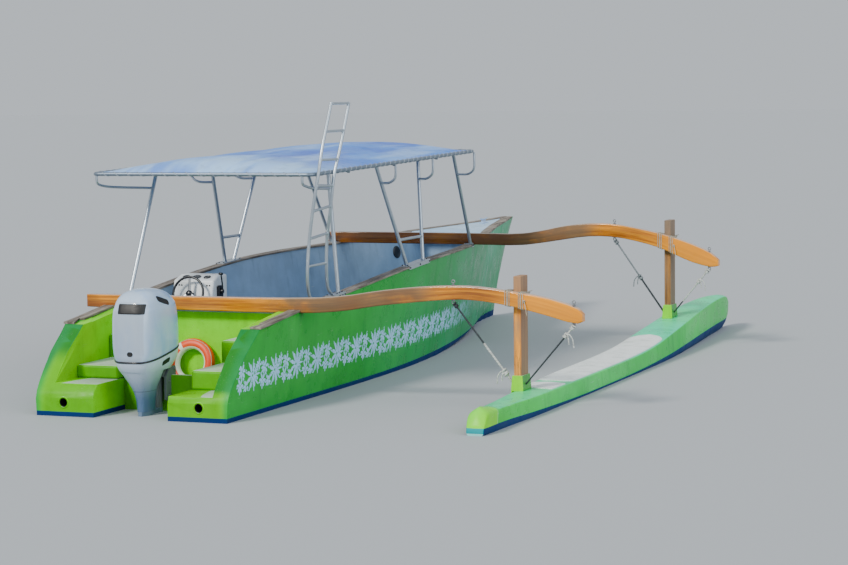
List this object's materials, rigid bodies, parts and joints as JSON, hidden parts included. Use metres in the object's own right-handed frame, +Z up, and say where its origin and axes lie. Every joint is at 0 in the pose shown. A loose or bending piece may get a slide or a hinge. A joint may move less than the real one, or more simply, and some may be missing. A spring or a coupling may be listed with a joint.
{
  "type": "outrigger canoe",
  "caption": "Wooden outrigger canoe afloat, green hull with a long side float on two curved crossbeams, a tube-framed shade canopy, boarding ladder and a tilting outboard engine",
  "frame": {"origin": "on the hull's centreline, at the aft faces of the two stern sponsons, on the waterline", "axes": "+X forward to the bow, +Y to port, +Z up"},
  "size_m": [10.9227, 5.157, 3.4523],
  "materials": {
    "hull_paint": "mid-green paint on glass-fibre skin, blue below the waterline",
    "cockpit_paint": "grey-blue paint inside, worn",
    "lime_paint": "yellow-green paint, worn non-skid on the treads",
    "weathered_wood": "bare grey weathered wood",
    "deck_paint": "light blue deck paint",
    "console_gelcoat": "white gelcoat",
    "wheel_plastic": "black moulded rim",
    "tube_metal": "round tube, brushed and dulled",
    "canopy_fabric": "light blue woven cover, laced at its edges",
    "ring_shell": "orange with white bands",
    "float_paint": "pale green paint, blue below the waterline",
    "pad_foam": "white foam deck pad",
    "post_wood": "weathered sawn timber",
    "varnished_wood": "orange varnished laminated timber",
    "stay_rope": "twisted rope, tied off with knots",
    "lashing_cord": "pale cord, many turns",
    "engine_shell": "white moulded covers",
    "engine_paint": "white paint on cast metal",
    "propeller_metal": "bare metal",
    "bracket_paint": "grey paint on cast metal"
  },
  "bodies": {
    "root": {"hull_shell": "hull_paint", "cockpit_liner": "cockpit_paint", "transom_board": "lime_paint", "transom_bulkhead": "lime_paint", "stern_steps_port": "lime_paint", "stern_steps_starboard": "lime_paint", "gunwale_cap_port": "weathered_wood", "gunwale_cap_starboard": "weathered_wood", "gunwale_cap_stern_port": "weathered_wood", "gunwale_cap_stern_starboard": "weathered_wood", "foredeck": "deck_paint", "bench_aft": "cockpit_paint", "bench_fore": "cockpit_paint", "helm_console": "console_gelcoat", "canopy_frame": "tube_metal", "canopy_cloth": "canopy_fabric", "canopy_leg_aft_port": "tube_metal", "canopy_leg_aft_starboard": "tube_metal", "canopy_frame_mid_port": "tube_metal", "canopy_frame_mid_starboard": "tube_metal", "canopy_leg_fore_port": "tube_metal", "canopy_leg_fore_starboard": "tube_metal", "boarding_ladder": "tube_metal", "life_ring": "ring_shell", "ama_hull": "float_paint", "ama_pad_aft": "pad_foam", "ama_pad_main": "pad_foam", "ama_socket_aft": "lime_paint", "ama_socket_fore": "lime_paint", "post_aft": "post_wood", "post_fore": "post_wood", "beam_aft": "varnished_wood", "beam_fore": "varnished_wood", "stay_aft_inner": "stay_rope", "stay_aft_outer": "stay_rope", "stay_fore_inner": "stay_rope", "stay_fore_outer": "stay_rope", "lashing_aft": "lashing_cord", "lashing_fore": "lashing_cord", "engine_clamp": "bracket_paint"},
    "engine_tilt": {"engine_swivel": "bracket_paint"},
    "engine": {"engine_cowl": "engine_shell", "engine_lower_cowl": "engine_shell", "engine_gearcase": "engine_paint"},
    "propeller": {"propeller": "propeller_metal"},
    "helm_wheel": {"helm_wheel": "wheel_plastic"}
  },
  "joints": [
    {"name": "engine_tilt", "type": "hinge", "parent": "root", "child": "engine_tilt", "pos_m": [0.665, 0, 0.4], "axis": [0, 1, 0], "range_deg": [0, 60]},
    {"name": "engine_steer", "type": "hinge", "parent": "engine_tilt", "child": "engine", "pos_m": [0.54, 0, 0.2], "axis": [0, 0, 1], "range_deg": [-30, 30]},
    {"name": "propeller_spin", "type": "hinge", "parent": "engine", "child": "propeller", "pos_m": [0.105, 0, -0.335], "axis": [1, 0, 0], "continuous": true},
    {"name": "helm_wheel_turn", "type": "hinge", "parent": "root", "child": "helm_wheel", "pos_m": [2.5111, 0.66, 0.9337], "axis": [-0.9662, 0, 0.2577], "range_deg": [-545, 545]}
  ],
  "couplings": [
    {"joint": "helm_wheel_turn", "follows": "engine_steer", "ratio": 18}
  ]
}
